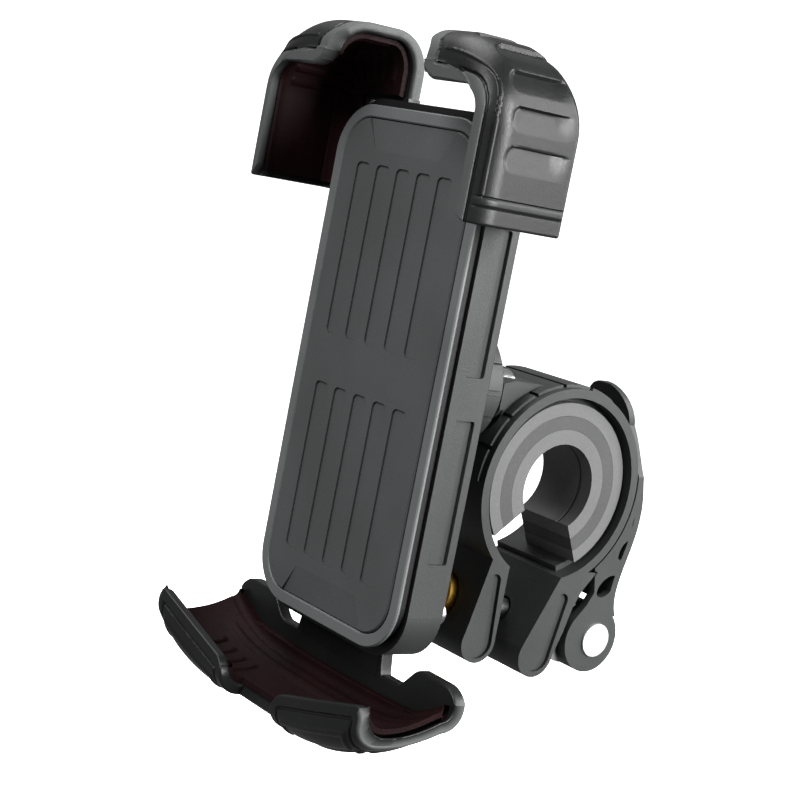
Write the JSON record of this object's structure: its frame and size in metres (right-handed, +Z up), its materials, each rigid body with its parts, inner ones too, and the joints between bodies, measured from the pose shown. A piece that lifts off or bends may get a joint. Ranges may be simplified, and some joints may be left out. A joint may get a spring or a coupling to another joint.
{
  "type": "phone mount",
  "caption": "Handlebar phone mount: a sprung pair of hooked jaws on a padded plate, carried by a ball joint on a quick-release clamp with reducing sleeves.",
  "frame": {"origin": "centre of the handlebar bore", "axes": "+X along the handlebar, -Y towards the phone, +Z up along the phone's long side"},
  "size_m": [0.0806, 0.0921, 0.1448],
  "materials": {
    "body_plastic": "fine-grained moulded plastic",
    "frame_plastic": "fine-grained moulded plastic, slightly polished",
    "jaw_plastic": "satin gloss moulded plastic",
    "pad_rubber": "matte",
    "liner_rubber": "matte",
    "sleeve_light": "matte",
    "sleeve_dark": "matte",
    "alloy": "turned",
    "steel": "satin",
    "pin_steel": "polished",
    "brass": "turned",
    "nylon": "moulded"
  },
  "bodies": {
    "clamp": {"clamp_ring": "body_plastic", "sleeve_outer": "sleeve_light", "sleeve_middle": "sleeve_dark", "sleeve_inner": "sleeve_light", "ball_stud": "alloy", "clamp_bolt": "steel", "cam_washer": "nylon"},
    "nut": {"brass_nut": "brass"},
    "lever": {"cam_lever": "body_plastic", "lever_pin": "pin_steel"},
    "rear_seat": {"ball_seat_rear": "nylon"},
    "front_seat": {"ball_seat_front": "nylon"},
    "holder": {"front_frame": "frame_plastic", "front_pad": "pad_rubber", "main_housing": "body_plastic", "back_cover": "body_plastic", "cover_screws": "steel", "pinion_pin": "steel", "side_panels_left": "body_plastic", "side_panels_right": "body_plastic", "upper_spring": "steel", "lower_spring": "steel"},
    "collar": {"collar_nut": "body_plastic"},
    "gear": {"pinion": "nylon"},
    "top_jaw": {"upper_jaw": "jaw_plastic", "upper_liner_left": "liner_rubber", "upper_liner_right": "liner_rubber"},
    "bottom_jaw": {"lower_jaw": "jaw_plastic", "lower_liner": "liner_rubber"}
  },
  "joints": [
    {"name": "lever_swing", "type": "hinge", "parent": "clamp", "child": "lever", "pos_m": [0, 0.0196, -0.0346], "axis": [-1, 0, 0], "range_deg": [0, 140]},
    {"name": "nut_spin", "type": "hinge", "parent": "clamp", "child": "nut", "pos_m": [0, -0.0186, -0.0274], "axis": [0, 0.9827, -0.1852], "continuous": true},
    {"name": "ball_tilt", "type": "hinge", "parent": "clamp", "child": "rear_seat", "pos_m": [0, -0.029, 0.02], "axis": [1, 0, 0], "range_deg": [-15, 3]},
    {"name": "ball_pan", "type": "hinge", "parent": "rear_seat", "child": "front_seat", "pos_m": [0, -0.029, 0.02], "axis": [0, 0, 1], "range_deg": [-12, 12]},
    {"name": "holder_spin", "type": "hinge", "parent": "front_seat", "child": "holder", "pos_m": [0, -0.029, 0.02], "axis": [0, 1, 0], "continuous": true},
    {"name": "collar_spin", "type": "hinge", "parent": "holder", "child": "collar", "pos_m": [0, -0.029, 0.02], "axis": [0, 1, 0], "continuous": true},
    {"name": "upper_slide", "type": "slide", "parent": "holder", "child": "top_jaw", "axis": [0, 0, 1], "range_m": [0, 0.019], "stiffness_N_per_m": 150, "springref_m": -0.03, "deforming": ["upper_spring"]},
    {"name": "lower_slide", "type": "slide", "parent": "holder", "child": "bottom_jaw", "axis": [0, 0, -1], "range_m": [0, 0.019], "deforming": ["lower_spring"]},
    {"name": "pinion_spin", "type": "hinge", "parent": "holder", "child": "gear", "pos_m": [0, -0.042, 0.02], "axis": [0, 1, 0], "range_deg": [-245, 0]}
  ],
  "couplings": [
    {"joint": "lower_slide", "follows": "upper_slide", "ratio": 1},
    {"joint": "pinion_spin", "follows": "upper_slide", "rad_per_m": -222.22}
  ]
}
